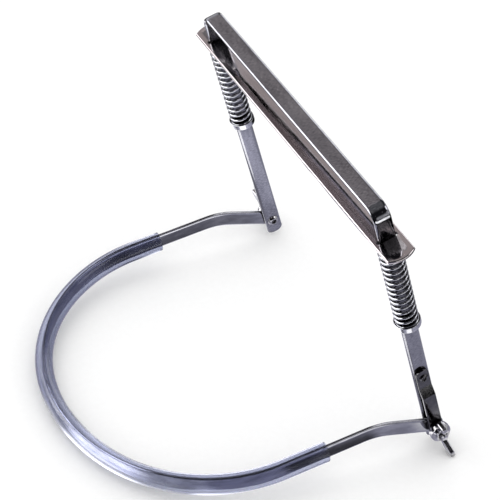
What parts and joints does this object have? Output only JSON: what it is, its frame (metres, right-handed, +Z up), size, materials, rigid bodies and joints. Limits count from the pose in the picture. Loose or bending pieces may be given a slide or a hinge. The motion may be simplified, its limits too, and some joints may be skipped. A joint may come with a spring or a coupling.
{
  "type": "harmonica holder",
  "caption": "Neck-worn harmonica holder: a spring-loaded clamp plate on two arms, hinged with wing nuts to a sleeved neck loop.",
  "frame": {"origin": "middle of the bottom of the whole holder's bounding box, on the table that it stands on", "axes": "+X from the left arm to the right arm as the player wears it, -Y towards the nape end of the neck loop, +Z up"},
  "size_m": [0.2296, 0.1912, 0.1759],
  "materials": {
    "strip_chrome": "bright nickel chrome over rolled strip",
    "plate_chrome": "mirror chrome",
    "spring_steel": "plated spring wire",
    "cup_steel": "plated pressed steel",
    "strap_steel": "dark bright plating",
    "fastener_nickel": "nickel plated",
    "sleeve_vinyl": "clear soft vinyl, slightly blue"
  },
  "bodies": {
    "neck_loop": {"neck_strip": "strip_chrome", "neck_sleeve": "sleeve_vinyl"},
    "clamp": {"clamp_frame": "strip_chrome", "spring_left": "spring_steel", "spring_right": "spring_steel", "spring_cup_left": "cup_steel", "spring_cup_right": "cup_steel", "stop_pin_left": "fastener_nickel", "stop_pin_right": "fastener_nickel", "pivot_strap_left": "strap_steel", "pivot_strap_right": "strap_steel", "strap_rivet_left": "strap_steel", "strap_rivet_right": "strap_steel", "pivot_bolt_left": "fastener_nickel", "pivot_bolt_right": "fastener_nickel"},
    "plate": {"clamp_plate": "plate_chrome"},
    "nut_left": {"wing_nut_left": "fastener_nickel"},
    "nut_right": {"wing_nut_right": "fastener_nickel"}
  },
  "joints": [
    {"name": "arm_tilt", "type": "hinge", "parent": "neck_loop", "child": "clamp", "pos_m": [0, 0.08887, 0.01234], "axis": [1, 0, 0], "range_deg": [-105, 37]},
    {"name": "plate_slide", "type": "slide", "parent": "clamp", "child": "plate", "axis": [0, -0.2798, 0.9601], "range_m": [-0.034, 0.014], "stiffness_N_per_m": 3200, "deforming": ["spring_left", "spring_right"]},
    {"name": "nut_left_turn", "type": "hinge", "parent": "clamp", "child": "nut_left", "pos_m": [-0.105, 0.08887, 0.01234], "axis": [1, 0, 0], "continuous": true},
    {"name": "nut_right_turn", "type": "hinge", "parent": "clamp", "child": "nut_right", "pos_m": [0.105, 0.08887, 0.01234], "axis": [1, 0, 0], "continuous": true}
  ]
}
